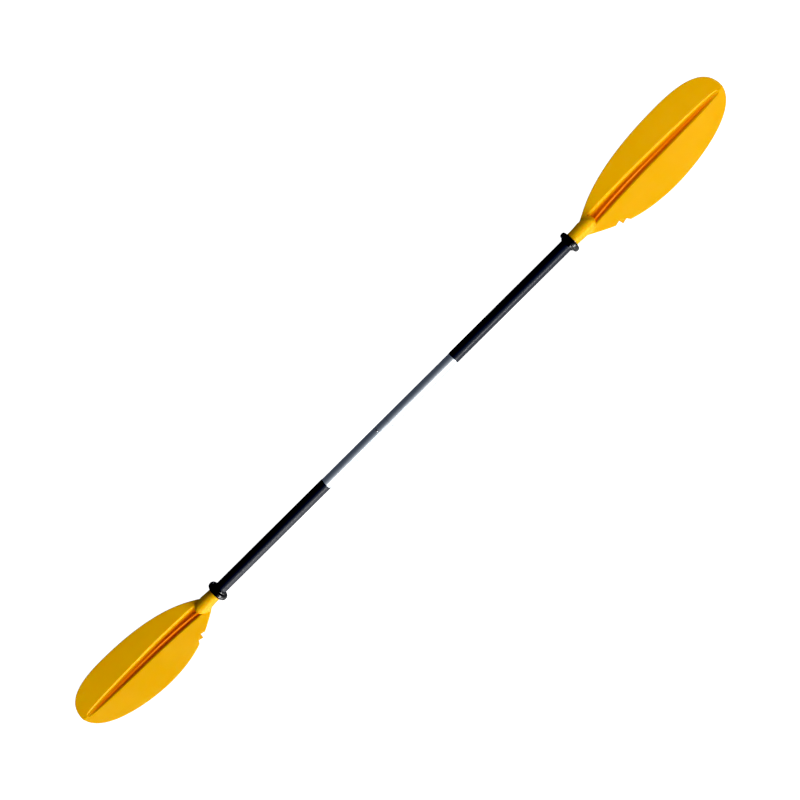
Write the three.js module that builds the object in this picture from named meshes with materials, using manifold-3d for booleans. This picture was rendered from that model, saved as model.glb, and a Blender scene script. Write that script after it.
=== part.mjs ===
// Two-piece kayak paddle: aluminium shaft halves joined by a snap-button ferrule, black grip
// sleeves, rubber drip rings and moulded asymmetric blades.
// Millimetres. +X runs along the shaft to the right blade, +Y to the long edges of the blades,
// +Z out of the face shown. The paddle lies on z = 0, on its drip rings and the blades' edges.
// Every piece is drawn about the shaft axis, which stands AXIS_HEIGHT above the floor.
import * as THREE from "three";
import { mergeVertices } from "three/addons/utils/BufferGeometryUtils.js";
import Module from "manifold-3d";

const wasm = await Module();
wasm.setup();

// ---- driving dimensions ----
const OVERALL_LENGTH = 2200;
const TIP_X = OVERALL_LENGTH / 2;

const TUBE_RADIUS = 15;
const TUBE_BORE = 13.5;
const TUBE_END_X = 665;
const SEAM_HALF_GAP = 0.2;

const NECK_RADIUS = 18.75; // at the throat; the neck narrows towards its mouth
const MOUTH_RADIUS = 17.1;
const SOCKET_RADIUS = 15.3;
const NECK_START_X = 612;
const SOCKET_END_X = 666;
const NOSE_START_X = 668;
const NOSE_END_X = 684;

const GRIP_START_X = 217.5;
const GRIP_END_X = 611.7;
const GRIP_RADIUS = 15.75;
const GRIP_BORE = 15.2;

const RING_RADIUS = 28;
const RING_NECK_FACE_X = 610.5;
const RING_BORE = 15.98;
const RING_HUB_RADIUS = 19.5;
const RING_LENGTH = 17.5;
const AXIS_HEIGHT = RING_RADIUS;

const FERRULE_RADIUS = 13.3;
const FERRULE_BORE = 10.8;
const FERRULE_FROM_X = -95;
const FERRULE_TO_X = 60;
const SEAL_X = -12;

const BUTTON_X = -35.6;
const BUTTON_TURN = THREE.MathUtils.degToRad(22); // from straight up towards +Y
const FEATHER_TURN = THREE.MathUtils.degToRad(60); // the second button hole, further round
const BUTTON_RADIUS = 3.8;
const BUTTON_TOP = 17.4;
const BUTTON_CLEARANCE = 0.35;

// blade plan shape: Bezier arcs [start, handle, handle, end], (x, y) from throat to tip
const THROAT_X = 645;
const LONG_EDGE = [
  [[648, NECK_RADIUS], [661, 10.5], [715, 82.7], [966, 82.7]],
  [[966, 82.7], [1052, 82.7], [TIP_X, 65], [TIP_X, 13]],
];
const SHORT_EDGE = [
  [[THROAT_X, -NECK_RADIUS], [703, -49.5], [760, -82.8], [873, -82.8]],
  [[873, -82.8], [946, -82.8], [TIP_X, -60], [TIP_X, 13]],
];
// the two saw-tooth barbs cut into the short edge near the throat: corner points (x, y)
const BARBS = [[709, -50], [721.5, -47.5], [724, -58.5], [738, -55.5], [743.5, -63.5]];

// plugs that close the tubes: one at each blade end, and the bulkhead behind the ferrule
const PLUG_RADIUS = 13.1;
const PLUG_SEGMENTS = 24;
const END_PLUG_XS = [648, 664];
const BULKHEAD_PLUG_XS = [112, 130];

// blade sheet
const CREST_LOW = -14.75; // lowest height of the crest line, measured from the shaft axis
const CREST_LOW_X = 920;
const CREST_BEND = 1.7e-4;
const DIHEDRAL_SLOPE = 0.13;
const SHEET_THICKNESS = 3.6;
const EDGE_THICKNESS = 2.4;
const THIN_FROM_AXIS = 80; // how far out the sheet has thinned to EDGE_THICKNESS
// central channel
const CHANNEL_FROM_X = 674;
const CHANNEL_TO_X = 1085;
const CHANNEL_HALF_WIDTH = 16.8;
const CHANNEL_DEPTH = 9;
const CHANNEL_OFFSET = 6.3; // how far its middle ends up towards the long edge
const CHANNEL_OFFSET_XS = [600, 850];
const SOFT_WALL = 0.42; // share of the width taken by the wall on the short side
const STEEP_WALL = 0.2; // share taken by the wall on the long side
// the low rib along the channel's floor
const RIB_HEIGHT = 4.5;
const RIB_HALF_WIDTH = 3.4;
const RIB_END_X = 930;
const RIB_SHIFT = 4; // how far it starts towards the short edge
const RIB_SHIFT_REACH = 60;
const BACK_WALL = 3; // how much wider the channel is on the back of the blade

// tube holes run from inside the bore to outside the neck
const HOLE_FROM = 5;
const HOLE_TO = 20;
const BUTTON_SEGMENTS = 24;

const ROUND_SEGMENTS = 32;
const SMALL_SEGMENTS = 12;

// ---- materials ----
const plastic = (color, roughness) =>
  new THREE.MeshStandardMaterial({ color, roughness, metalness: 0 });
const metal = (color, roughness) =>
  new THREE.MeshStandardMaterial({ color, roughness, metalness: 1 });

const BLADE_PLASTIC = plastic(0xf0b000, 0.38);
const SHAFT_ALUMINIUM = metal(0xc4c9ce, 0.22);
const GRIP_RUBBER = plastic(0x090a0c, 0.5);
const RING_RUBBER = plastic(0x0b0b0d, 0.35);
const FERRULE_NYLON = plastic(0x1c1d20, 0.5);
const PLUG_FOAM = plastic(0x2c2d30, 0.85);
const SPRING_STEEL = metal(0xb9bcc0, 0.3);
const RIVET_METAL = metal(0xb4b8bc, 0.35);

// ---- solids ----
function toSolid(geometry) {
  const loose = geometry.index ? geometry.toNonIndexed() : geometry;
  const bare = new THREE.BufferGeometry();
  bare.setAttribute("position", loose.getAttribute("position"));
  const merged = mergeVertices(bare, 1e-3);
  const shell = {
    numProp: 3,
    vertProperties: merged.attributes.position.array,
    triVerts: new Uint32Array(merged.index.array),
  };
  return new wasm.Manifold(new wasm.Mesh(shell));
}

function toGeometry(solid) {
  const mesh = solid.getMesh();
  const geometry = new THREE.BufferGeometry();
  geometry.setAttribute("position", new THREE.BufferAttribute(mesh.vertProperties, 3));
  geometry.setIndex(new THREE.BufferAttribute(mesh.triVerts, 1));
  geometry.computeVertexNormals();
  return geometry;
}

function cut(geometry, cutters) {
  let solid = toSolid(geometry);
  for (const cutter of cutters) {
    solid = solid.subtract(toSolid(cutter));
  }
  return toGeometry(solid);
}

function join(first, second) {
  return toGeometry(toSolid(first).add(toSolid(second)));
}

// A closed profile of [x, radius] points turned about the shaft axis, anticlockwise seen with x
// to the right and radius up. A flat facet faces straight down.
function turned(profile, segments = ROUND_SEGMENTS) {
  const points = profile.map(([x, radius]) => new THREE.Vector2(radius, x)).reverse();
  points.push(points[0].clone());
  const geometry = new THREE.LatheGeometry(points, segments, Math.PI / segments);
  return geometry.rotateZ(-Math.PI / 2);
}

// A hollow cylinder on the shaft axis.
function sleeve(fromX, toX, bore, radius, segments = ROUND_SEGMENTS) {
  return turned([[fromX, bore], [toX, bore], [toX, radius], [fromX, radius]], segments);
}

// A solid cylinder on the shaft axis.
function rod(fromX, toX, radius, segments = ROUND_SEGMENTS) {
  const geometry = new THREE.CylinderGeometry(radius, radius, toX - fromX, segments);
  return geometry.rotateZ(-Math.PI / 2).translate((fromX + toX) / 2, 0, 0);
}

// A cylinder that leaves the shaft axis at x = atX, turned from straight up towards +Y.
function spoke(atX, turn, radius, from, to, segments = SMALL_SEGMENTS) {
  const geometry = new THREE.CylinderGeometry(radius, radius, to - from, segments);
  geometry.rotateX(Math.PI / 2).translate(0, 0, (from + to) / 2);
  return geometry.rotateX(-turn).translate(atX, 0, 0);
}

// ---- blade ----
const clamp01 = (value) => Math.min(Math.max(value, 0), 1);

function bezier(a, b, c, d, t) {
  const s = 1 - t;
  return s * s * s * a + 3 * s * s * t * b + 3 * s * t * t * c + t * t * t * d;
}

// The y of an edge made of Bezier arcs, at x.
function edgeY(arcs, x) {
  const arc = arcs.find((points) => x <= points[3][0]) ?? arcs[arcs.length - 1];
  const [xs, ys] = [0, 1].map((axis) => arc.map((point) => point[axis]));
  let low = 0;
  let high = 1;
  for (let step = 0; step < 40; step++) {
    const middle = (low + high) / 2;
    if (bezier(...xs, middle) < x) {
      low = middle;
    } else {
      high = middle;
    }
  }
  return bezier(...ys, (low + high) / 2);
}

function barbY(x) {
  const next = BARBS.findIndex((point) => point[0] >= x);
  const [x0, y0] = BARBS[next - 1];
  const [x1, y1] = BARBS[next];
  return THREE.MathUtils.lerp(y0, y1, (x - x0) / (x1 - x0));
}

function neckRadius(x) {
  const share = clamp01((x - NECK_START_X) / (THROAT_X - NECK_START_X));
  return THREE.MathUtils.lerp(MOUTH_RADIUS, NECK_RADIUS, share ** 2);
}

function longY(x) {
  return x <= THROAT_X ? neckRadius(x) : edgeY(LONG_EDGE, x);
}

function shortY(x) {
  if (x <= THROAT_X) return -neckRadius(x);
  const inBarbs = x > BARBS[0][0] && x < BARBS[BARBS.length - 1][0];
  return inBarbs ? barbY(x) : edgeY(SHORT_EDGE, x);
}

function channelShare(x) {
  return clamp01((CHANNEL_TO_X - x) / (CHANNEL_TO_X - CHANNEL_FROM_X));
}

function channelCentre(x) {
  return CHANNEL_OFFSET * THREE.MathUtils.smoothstep(x, ...CHANNEL_OFFSET_XS);
}

function channelHalfWidth(x) {
  return CHANNEL_HALF_WIDTH * channelShare(x) ** 0.24;
}

// How deep the channel is at y: a soft wall on the short side, a flat floor and a steep wall on
// the long side. On the back of the blade its walls are widened by wall.
function channelDepth(x, y, wall) {
  const half = channelHalfWidth(x) + wall;
  const across = (y - channelCentre(x) + half) / (2 * half);
  if (x < CHANNEL_FROM_X || x >= CHANNEL_TO_X || across <= 0 || across >= 1) return 0;
  const soft = THREE.MathUtils.smoothstep(across, 0, SOFT_WALL);
  const steep = THREE.MathUtils.smoothstep(1 - across, 0, STEEP_WALL);
  return CHANNEL_DEPTH * channelShare(x) ** 0.4 * soft * steep;
}

function ribCentre(x) {
  const shift = Math.exp(-Math.max(x - NOSE_END_X, 0) / RIB_SHIFT_REACH);
  return channelCentre(x) - RIB_SHIFT * shift;
}

function channelRib(x, y) {
  const share = clamp01((RIB_END_X - x) / (RIB_END_X - CHANNEL_FROM_X));
  const across = (y - ribCentre(x)) / RIB_HALF_WIDTH;
  return x < CHANNEL_FROM_X ? 0 : RIB_HEIGHT * share * Math.exp(-across * across);
}

// Height of the sheet's upper face without its channel: a crest that bends along the blade and
// falls evenly to both edges.
function sheetHeight(x, y) {
  const crest = CREST_LOW + CREST_BEND * (x - CREST_LOW_X) ** 2;
  const width = longY(x) - shortY(x);
  const centre = channelCentre(x);
  const reach = y > centre ? longY(x) - centre : centre - shortY(x);
  return crest - (DIHEDRAL_SLOPE * width * Math.abs(y - centre)) / (2 * reach);
}

function sheetThickness(x, y) {
  const share = clamp01(Math.abs(y) / THIN_FROM_AXIS);
  return THREE.MathUtils.lerp(SHEET_THICKNESS, EDGE_THICKNESS, share);
}

// The neck's half-height at y, and how its nose falls to the channel's floor past NOSE_START_X.
function neckHeight(x, y) {
  const round = Math.sqrt(Math.max(neckRadius(x) ** 2 - y * y, 0));
  const along = clamp01((x - NOSE_START_X) / (NOSE_END_X - NOSE_START_X));
  const floor = CREST_LOW + CREST_BEND * (x - CREST_LOW_X) ** 2 - CHANNEL_DEPTH;
  return floor + (round - floor) * Math.sqrt(1 - along * along);
}

function topHeight(x, y) {
  const sheet = sheetHeight(x, y) - channelDepth(x, y, 0) + channelRib(x, y);
  if (x <= THROAT_X) return neckHeight(x, y);
  const underNose = x < NOSE_END_X && Math.abs(y) < NECK_RADIUS;
  return underNose ? Math.max(sheet, neckHeight(x, y)) : sheet;
}

function bottomHeight(x, y) {
  const round = -Math.sqrt(Math.max(neckRadius(x) ** 2 - y * y, 0));
  if (x <= THROAT_X) return round;
  const sheet = sheetHeight(x, y) - channelDepth(x, y, BACK_WALL) - sheetThickness(x, y);
  return x < NOSE_END_X && Math.abs(y) < NECK_RADIUS ? Math.min(sheet, round) : sheet;
}

// The y values at which a cross-section is sampled: nine over the channel or neck, four more out
// to each edge.
function acrossBlade(x) {
  const inBlade = x > THROAT_X;
  const reach = inBlade ? 1 : Math.sin(THREE.MathUtils.degToRad(82));
  const low = shortY(x) * reach;
  const high = longY(x) * reach;
  const inner = x > NOSE_START_X ? Math.max(channelHalfWidth(x), 1.5) : NECK_RADIUS * 0.7;
  const half = Math.min(inner, 0.3 * (high - low));
  const centre = x > NOSE_START_X ? channelCentre(x) : 0;
  const middle = THREE.MathUtils.clamp(centre, low + half * 1.4, high - half * 1.4);
  const ys = [];
  for (let step = 0; step < 4; step++) {
    ys.push(THREE.MathUtils.lerp(low, middle - half, step / 4));
  }
  ys.push(...(x > NOSE_START_X ? overChannel(x, middle, half) : overNeck(middle, half)));
  for (let step = 1; step <= 4; step++) {
    ys.push(THREE.MathUtils.lerp(middle + half, high, step / 4));
  }
  return ys;
}

function overNeck(middle, half) {
  const steps = [-4, -3, -2, -1, 0, 1, 2, 3, 4];
  return steps.map((step) => middle + (half * step) / 4);
}

// Three places down the soft wall, three over the rib and three up the steep wall.
function overChannel(x, middle, half) {
  const [from, to] = [middle - half, middle + half];
  const rib = THREE.MathUtils.clamp(ribCentre(x), middle - half * 0.3, middle + half * 0.1);
  const ribHalf = Math.min(RIB_HALF_WIDTH, half * 0.24);
  const steep = 2 * half * STEEP_WALL;
  return [
    from,
    THREE.MathUtils.lerp(from, rib - ribHalf, 1 / 3),
    THREE.MathUtils.lerp(from, rib - ribHalf, 2 / 3),
    rib - ribHalf,
    rib,
    rib + ribHalf,
    to - steep,
    to - steep / 2,
    to,
  ];
}

function bladeSection(x) {
  const ys = acrossBlade(x);
  const top = ys.map((y) => new THREE.Vector3(x, y, topHeight(x, y)));
  const bottom = ys.map((y) => new THREE.Vector3(x, y, bottomHeight(x, y)));
  return [...top, ...bottom.reverse()];
}

function bladeStations() {
  const evenFrom = 762;
  const evenTo = 1030;
  const evenStep = 24;
  const tipStations = 8;
  const tipReach = 64;
  const tipBack = 0.2; // the last section stops short of the tip, where the width is nil
  const stations = [NECK_START_X, 630, THROAT_X, THROAT_X + 0.5, 652, 660, NOSE_START_X];
  stations.push(671, CHANNEL_FROM_X, 678, 682, NOSE_END_X, 696);
  stations.push(...BARBS.map((point) => point[0]));
  for (let x = evenFrom; x < evenTo; x += evenStep) {
    stations.push(x);
  }
  for (let step = 1; step <= tipStations; step++) {
    const toTip = 1 - Math.sin((Math.PI / 2) * (step / tipStations));
    stations.push(TIP_X - tipBack - tipReach * toTip);
  }
  return stations;
}

// A closed skin over sections that have the same number of points, with flat ends.
function loft(sections) {
  const count = sections[0].length;
  const positions = sections.flat().flatMap((point) => point.toArray());
  const index = [];
  for (let ring = 0; ring + 1 < sections.length; ring++) {
    for (let side = 0; side < count; side++) {
      const a = ring * count + side;
      const b = ring * count + ((side + 1) % count);
      index.push(a, a + count, b, b, a + count, b + count);
    }
  }
  // each end is a strip of quads between its upper and lower halves
  for (const [start, faceForward] of [[0, false], [(sections.length - 1) * count, true]]) {
    for (let side = 0; side + 1 < count / 2; side++) {
      const a = start + side;
      const b = start + side + 1;
      const c = start + count - 2 - side;
      const d = start + count - 1 - side;
      const quad = faceForward ? [a, c, b, a, d, c] : [a, b, c, a, c, d];
      index.push(...quad);
    }
  }
  const geometry = new THREE.BufferGeometry();
  geometry.setAttribute("position", new THREE.Float32BufferAttribute(positions, 3));
  geometry.setIndex(index);
  return geometry;
}

function bladeGeometry(rivetXs) {
  const skin = loft(bladeStations().map(bladeSection));
  const socket = rod(NECK_START_X - 5, SOCKET_END_X, SOCKET_RADIUS);
  return cut(skin, [socket, ...rivetHolesAt(rivetXs)]);
}

// ---- rivets ----
const RIVET_SHANK_RADIUS = 2.4;
const RIVET_HOLE_RADIUS = 2.7;
const RIVET_HEAD_RADIUS = 4.4;
const BLADE_RIVET_XS = [624, 641];
const FERRULE_RIVET_XS = [22, 44];

// A blind rivet on the underside of the shaft: a domed head outside and a set bulge inside.
function rivetGeometry(outside, inside) {
  const profile = [
    [0, inside - 3],
    [2.2, inside - 2.7],
    [3.2, inside - 1.8],
    [3.2, inside - 0.9],
    [RIVET_SHANK_RADIUS, inside - 0.7],
    [RIVET_SHANK_RADIUS, outside + 0.2],
    [RIVET_HEAD_RADIUS, outside + 0.2],
    [RIVET_HEAD_RADIUS * 0.85, outside + 0.9],
    [0, outside + 1.5],
  ];
  const points = profile.map(([radius, height]) => new THREE.Vector2(radius, height));
  return new THREE.LatheGeometry(points, SMALL_SEGMENTS).rotateX(-Math.PI / 2);
}

function rivetHolesAt(xs) {
  return xs.map((x) => spoke(x, Math.PI, RIVET_HOLE_RADIUS, HOLE_FROM, HOLE_TO));
}

// ---- shaft ----
function leftTubeGeometry() {
  const tube = sleeve(SEAM_HALF_GAP, TUBE_END_X, TUBE_BORE, TUBE_RADIUS);
  const holeRadius = BUTTON_RADIUS + BUTTON_CLEARANCE;
  const buttonHoles = [BUTTON_TURN, BUTTON_TURN + FEATHER_TURN].map((turn) =>
    spoke(-BUTTON_X, turn, holeRadius, HOLE_FROM, HOLE_TO, BUTTON_SEGMENTS),
  );
  const rivetHoles = rivetHolesAt(BLADE_RIVET_XS);
  return cut(tube, [...buttonHoles, ...rivetHoles]);
}

function rightTubeGeometry() {
  const tube = sleeve(SEAM_HALF_GAP, TUBE_END_X, TUBE_BORE, TUBE_RADIUS);
  return cut(tube, rivetHolesAt([...FERRULE_RIVET_XS, ...BLADE_RIVET_XS]));
}

function plugGeometry([fromX, toX]) {
  return rod(fromX, toX, PLUG_RADIUS, PLUG_SEGMENTS);
}

function gripGeometry() {
  const lip = 0.35;
  return turned([
    [GRIP_START_X, GRIP_BORE],
    [GRIP_END_X, GRIP_BORE],
    [GRIP_END_X, GRIP_RADIUS],
    [GRIP_START_X + lip, GRIP_RADIUS],
    [GRIP_START_X, GRIP_RADIUS - lip],
  ]);
}

// The rubber ring: a rounded rim, a dished face and a hub on the grip side, and a shallow gutter
// on the neck side. Distances run from the neck-side face towards the grip.
function dripRingGeometry() {
  const profile = [
    [0, RING_BORE],
    [0, 19.5],
    [2.2, 20.5],
    [2.2, 22.5],
    [0, 23.8],
    [1.2, 26.2],
    [3.8, RING_RADIUS],
    [9.4, RING_RADIUS],
    [12.6, 26.4],
    [13.8, 23.6],
    [12.4, RING_HUB_RADIUS + 1.2],
    [13.2, RING_HUB_RADIUS],
    [RING_LENGTH - 1, RING_HUB_RADIUS - 0.6],
    [RING_LENGTH, RING_HUB_RADIUS - 1.8],
    [RING_LENGTH, RING_BORE],
  ];
  // the flat facet that faces down lies at the full radius
  const apothem = Math.cos(Math.PI / ROUND_SEGMENTS);
  const outline = profile.map(([along, radius]) => [RING_NECK_FACE_X - along, radius]);
  const spread = (radius) => (radius === RING_RADIUS ? radius / apothem : radius);
  return turned(outline.map(([x, radius]) => [x, spread(radius)]));
}

// ---- ferrule ----
const SEAL_GROOVE_HALF_WIDTH = 1.3;
const SEAL_GROOVE_FLOOR = 11.9;

function ferruleGeometry() {
  const lead = 1.5;
  const body = turned([
    [FERRULE_FROM_X, FERRULE_BORE],
    [FERRULE_TO_X, FERRULE_BORE],
    [FERRULE_TO_X, FERRULE_RADIUS],
    [SEAL_X + SEAL_GROOVE_HALF_WIDTH, FERRULE_RADIUS],
    [SEAL_X + SEAL_GROOVE_HALF_WIDTH, SEAL_GROOVE_FLOOR],
    [SEAL_X - SEAL_GROOVE_HALF_WIDTH, SEAL_GROOVE_FLOOR],
    [SEAL_X - SEAL_GROOVE_HALF_WIDTH, FERRULE_RADIUS],
    [FERRULE_FROM_X + lead, FERRULE_RADIUS],
    [FERRULE_FROM_X, FERRULE_RADIUS - lead / 2],
  ]);
  const holeRadius = BUTTON_RADIUS + BUTTON_CLEARANCE;
  const buttonHole = spoke(BUTTON_X, BUTTON_TURN, holeRadius, HOLE_FROM, HOLE_TO, BUTTON_SEGMENTS);
  return cut(body, [buttonHole, ...rivetHolesAt(FERRULE_RIVET_XS)]);
}

// The rubber seal in the ferrule's groove: a ring of round section.
function sealRingGeometry() {
  const sectionRadius = 0.6;
  const centreRadius = 12.75;
  const sides = 8;
  const profile = [];
  for (let side = 0; side < sides; side++) {
    const angle = (2 * Math.PI * side) / sides;
    const x = SEAL_X + sectionRadius * Math.cos(angle);
    profile.push([x, centreRadius + sectionRadius * Math.sin(angle)]);
  }
  return turned(profile);
}

// A plug that closes the ferrule's open end: a flange outside and a stem in the bore.
function ferrulePlugGeometry() {
  const seatX = FERRULE_FROM_X - 0.3;
  const flangeX = seatX - 2;
  const stemX = FERRULE_FROM_X + 11;
  const profile = [
    [flangeX, 0],
    [stemX, 0],
    [stemX, FERRULE_BORE - 0.6],
    [seatX, FERRULE_BORE - 0.4],
    [seatX, FERRULE_RADIUS - 1.1],
    [flangeX, FERRULE_RADIUS - 1.6],
  ];
  return turned(profile, PLUG_SEGMENTS);
}

// The one-piece spring clip: a bent steel leaf inside the ferrule, with the locking button drawn
// up from its upper arm. Drawn pointing straight up, then turned to the button's place.
function buttonSpringGeometry() {
  const thickness = 0.6;
  const width = 7;
  const armTop = 9.7;
  const armEndX = BUTTON_X + 6;
  const armKneeX = BUTTON_X - 6;
  const bendX = BUTTON_X - 28;
  const bendRadius = 1.6;
  const leaf = new THREE.Shape();
  leaf.moveTo(armEndX, armTop - thickness);
  leaf.lineTo(armEndX, armTop);
  leaf.lineTo(armKneeX, armTop);
  leaf.lineTo(bendX, bendRadius);
  leaf.absarc(bendX, 0, bendRadius, Math.PI / 2, (3 * Math.PI) / 2, false);
  leaf.lineTo(armEndX, -armTop);
  leaf.lineTo(armEndX, -armTop + thickness);
  leaf.lineTo(bendX, -bendRadius + thickness);
  leaf.absarc(bendX, 0, bendRadius - thickness, (3 * Math.PI) / 2, Math.PI / 2, true);
  leaf.lineTo(armKneeX, armTop - thickness);
  const options = { depth: width, bevelEnabled: false, curveSegments: 6 };
  const strip = new THREE.ExtrudeGeometry(leaf, options);
  strip.translate(0, 0, -width / 2).rotateX(Math.PI / 2);
  const dome = [
    new THREE.Vector2(0, armTop - 0.3),
    new THREE.Vector2(BUTTON_RADIUS, armTop - 0.3),
    new THREE.Vector2(BUTTON_RADIUS, BUTTON_TOP - 1.2),
    new THREE.Vector2(BUTTON_RADIUS * 0.8, BUTTON_TOP - 0.4),
    new THREE.Vector2(0, BUTTON_TOP),
  ];
  const button = new THREE.LatheGeometry(dome, BUTTON_SEGMENTS);
  button.rotateX(Math.PI / 2).translate(BUTTON_X, 0, 0);
  return join(strip, button).rotateX(-BUTTON_TURN);
}

// ---- assembly ----
const paddle = new THREE.Group();
paddle.position.z = AXIS_HEIGHT;
const leftHalf = new THREE.Group();
leftHalf.scale.x = -1;
const rightHalf = new THREE.Group();
paddle.add(leftHalf, rightHalf);

function place(group, name, geometry, material, x = 0) {
  const mesh = new THREE.Mesh(geometry, material);
  mesh.name = name;
  mesh.position.x = x;
  group.add(mesh);
}

for (const [side, half] of [["left", leftHalf], ["right", rightHalf]]) {
  place(half, `${side}_blade`, bladeGeometry(BLADE_RIVET_XS), BLADE_PLASTIC);
  place(half, `${side}_grip`, gripGeometry(), GRIP_RUBBER);
  place(half, `${side}_drip_ring`, dripRingGeometry(), RING_RUBBER);
  place(half, `${side}_shaft_end_plug`, plugGeometry(END_PLUG_XS), PLUG_FOAM);
  BLADE_RIVET_XS.forEach((x, index) => {
    const rivet = rivetGeometry(neckRadius(x + RIVET_HEAD_RADIUS), TUBE_BORE);
    place(half, `${side}_blade_rivet_${["inner", "outer"][index]}`, rivet, RIVET_METAL, x);
  });
}
place(leftHalf, "left_shaft_tube", leftTubeGeometry(), SHAFT_ALUMINIUM);
place(leftHalf, "left_bulkhead_plug", plugGeometry(BULKHEAD_PLUG_XS), PLUG_FOAM);
place(rightHalf, "right_shaft_tube", rightTubeGeometry(), SHAFT_ALUMINIUM);
place(rightHalf, "ferrule_sleeve", ferruleGeometry(), FERRULE_NYLON);
place(rightHalf, "ferrule_end_plug", ferrulePlugGeometry(), FERRULE_NYLON);
place(rightHalf, "ferrule_seal_ring", sealRingGeometry(), RING_RUBBER);
place(rightHalf, "snap_button_spring", buttonSpringGeometry(), SPRING_STEEL);
const ferruleRivet = rivetGeometry(TUBE_RADIUS, FERRULE_BORE);
place(rightHalf, "ferrule_rivet_inner", ferruleRivet, RIVET_METAL, FERRULE_RIVET_XS[0]);
place(rightHalf, "ferrule_rivet_outer", ferruleRivet, RIVET_METAL, FERRULE_RIVET_XS[1]);

export default paddle;
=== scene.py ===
"""Kayak paddle: the fine surfaces, materials, light and camera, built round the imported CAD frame.

Shapes are worked out in millimetres about the shaft axis, for the right half. +X runs along the shaft
to the right blade's tip, +Y to the blades' long edges and +Z out of their power faces.
"""

import math

import bmesh
import bpy
import numpy as np
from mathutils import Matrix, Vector


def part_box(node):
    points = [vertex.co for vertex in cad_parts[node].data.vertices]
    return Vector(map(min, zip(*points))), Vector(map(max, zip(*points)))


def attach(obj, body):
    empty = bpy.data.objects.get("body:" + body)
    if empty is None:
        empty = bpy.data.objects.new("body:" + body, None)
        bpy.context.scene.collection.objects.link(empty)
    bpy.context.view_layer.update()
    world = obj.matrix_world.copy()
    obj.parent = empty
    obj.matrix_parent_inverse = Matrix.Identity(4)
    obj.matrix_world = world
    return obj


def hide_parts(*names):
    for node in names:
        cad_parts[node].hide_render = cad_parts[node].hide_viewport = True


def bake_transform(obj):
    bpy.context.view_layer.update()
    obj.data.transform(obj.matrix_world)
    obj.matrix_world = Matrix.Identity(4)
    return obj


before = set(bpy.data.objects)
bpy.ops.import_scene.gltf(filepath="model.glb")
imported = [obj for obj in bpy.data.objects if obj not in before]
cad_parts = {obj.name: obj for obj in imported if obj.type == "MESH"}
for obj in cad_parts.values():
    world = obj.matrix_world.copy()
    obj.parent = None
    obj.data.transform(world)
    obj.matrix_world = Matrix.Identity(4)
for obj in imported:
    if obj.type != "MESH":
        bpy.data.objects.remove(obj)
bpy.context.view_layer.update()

MM = 0.001
RIGHT = 1
LEFT = -1


def span(node, axis):
    """A CAD node's lowest and highest place along an axis, in millimetres."""
    low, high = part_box(node)
    return low[axis] / MM, high[axis] / MM


# ---- sizes from the frame ----
AXIS_HEIGHT = sum(span("right_drip_ring", 2)) / 2
SEAM_X, TUBE_END_X = span("right_shaft_tube", 0)
GRIP_START_X, GRIP_END_X = span("right_grip", 0)
RING_NECK_FACE_X = span("right_drip_ring", 0)[1]
FERRULE_START_X, FERRULE_END_X = span("ferrule_sleeve", 0)
NECK_START_X = span("right_blade", 0)[0]
END_PLUG_XS = span("right_shaft_end_plug", 0)

# ---- sizes that no box of the frame shows ----
TUBE_RADIUS = 15.0
TUBE_BORE = 13.5
GRIP_RADIUS = 15.75
GRIP_BORE = 15.2
RING_RADIUS = AXIS_HEIGHT
RING_BORE = 15.98
FERRULE_RADIUS = 13.3
FERRULE_BORE = 10.8
PLUG_RADIUS = 13.1
SOCKET_RADIUS = 15.3
SOCKET_END_X = TUBE_END_X + 1
SEAL_X = -12.0
BUTTON_X = -35.6
BUTTON_TURNS = (math.radians(22), math.radians(82))
BUTTON_RADIUS = 3.8
BUTTON_TOP = 17.4
BUTTON_HOLE_RADIUS = 4.15
RIVET_SHANK_RADIUS = 2.4
RIVET_HOLE_RADIUS = 2.7
RIVET_HEAD_RADIUS = 4.4
BLADE_RIVET_XS = (624, 641)
FERRULE_RIVET_XS = (22, 44)

ROUND_SEGMENTS = 144
SMALL_SEGMENTS = 48
CORNER_SHARE = 0.45  # the most of an edge that one rounded corner may take
HOLE_REACH = (5, 20)  # holes in the tubes run from inside the bore to outside the wall


# ---- meshes ----
def add_piece(name, points, faces, side=RIGHT):
    """An object from points in millimetres about the shaft axis, mirrored for the left half."""
    places = np.array(points, float) * MM
    places[:, 0] *= side
    places[:, 2] += AXIS_HEIGHT * MM
    mesh = bpy.data.meshes.new(name)
    mesh.from_pydata(places.tolist(), [], faces)
    tidy = bmesh.new()
    tidy.from_mesh(mesh)
    bmesh.ops.recalc_face_normals(tidy, faces=tidy.faces)
    tidy.to_mesh(mesh)
    tidy.free()
    piece = bpy.data.objects.new(name, mesh)
    bpy.context.scene.collection.objects.link(piece)
    return piece


def shade(piece, sharp_degrees):
    """Smooth shading, with edges that turn by more than this kept sharp."""
    piece.data.shade_smooth()
    piece.data.set_sharp_from_angle(angle=math.radians(sharp_degrees))


def finish_piece(piece, body, slot, material, *nodes):
    """Gives a piece its material and the CAD body it rides on; a piece given no body is left
    unattached.
    """
    piece.data.materials.clear()
    piece.data.materials.append(material)
    if body:
        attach(piece, body)
    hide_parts(*nodes)


def rounded(profile, radius, steps=5):
    """A closed profile with each corner that is off the axis rounded by a short curve."""
    points = [np.array(point, float) for point in profile]
    result = []
    for index, corner in enumerate(points):
        before = points[index - 1]
        after = points[(index + 1) % len(points)]
        if corner[1] <= 0:
            result.append(corner)
            continue
        back = min(radius, CORNER_SHARE * np.linalg.norm(before - corner))
        ahead = min(radius, CORNER_SHARE * np.linalg.norm(after - corner))
        start = corner + (before - corner) / np.linalg.norm(before - corner) * back
        end = corner + (after - corner) / np.linalg.norm(after - corner) * ahead
        for t in np.linspace(0, 1, steps):
            result.append((1 - t) ** 2 * start + 2 * t * (1 - t) * corner + t * t * end)
    return result


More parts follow.
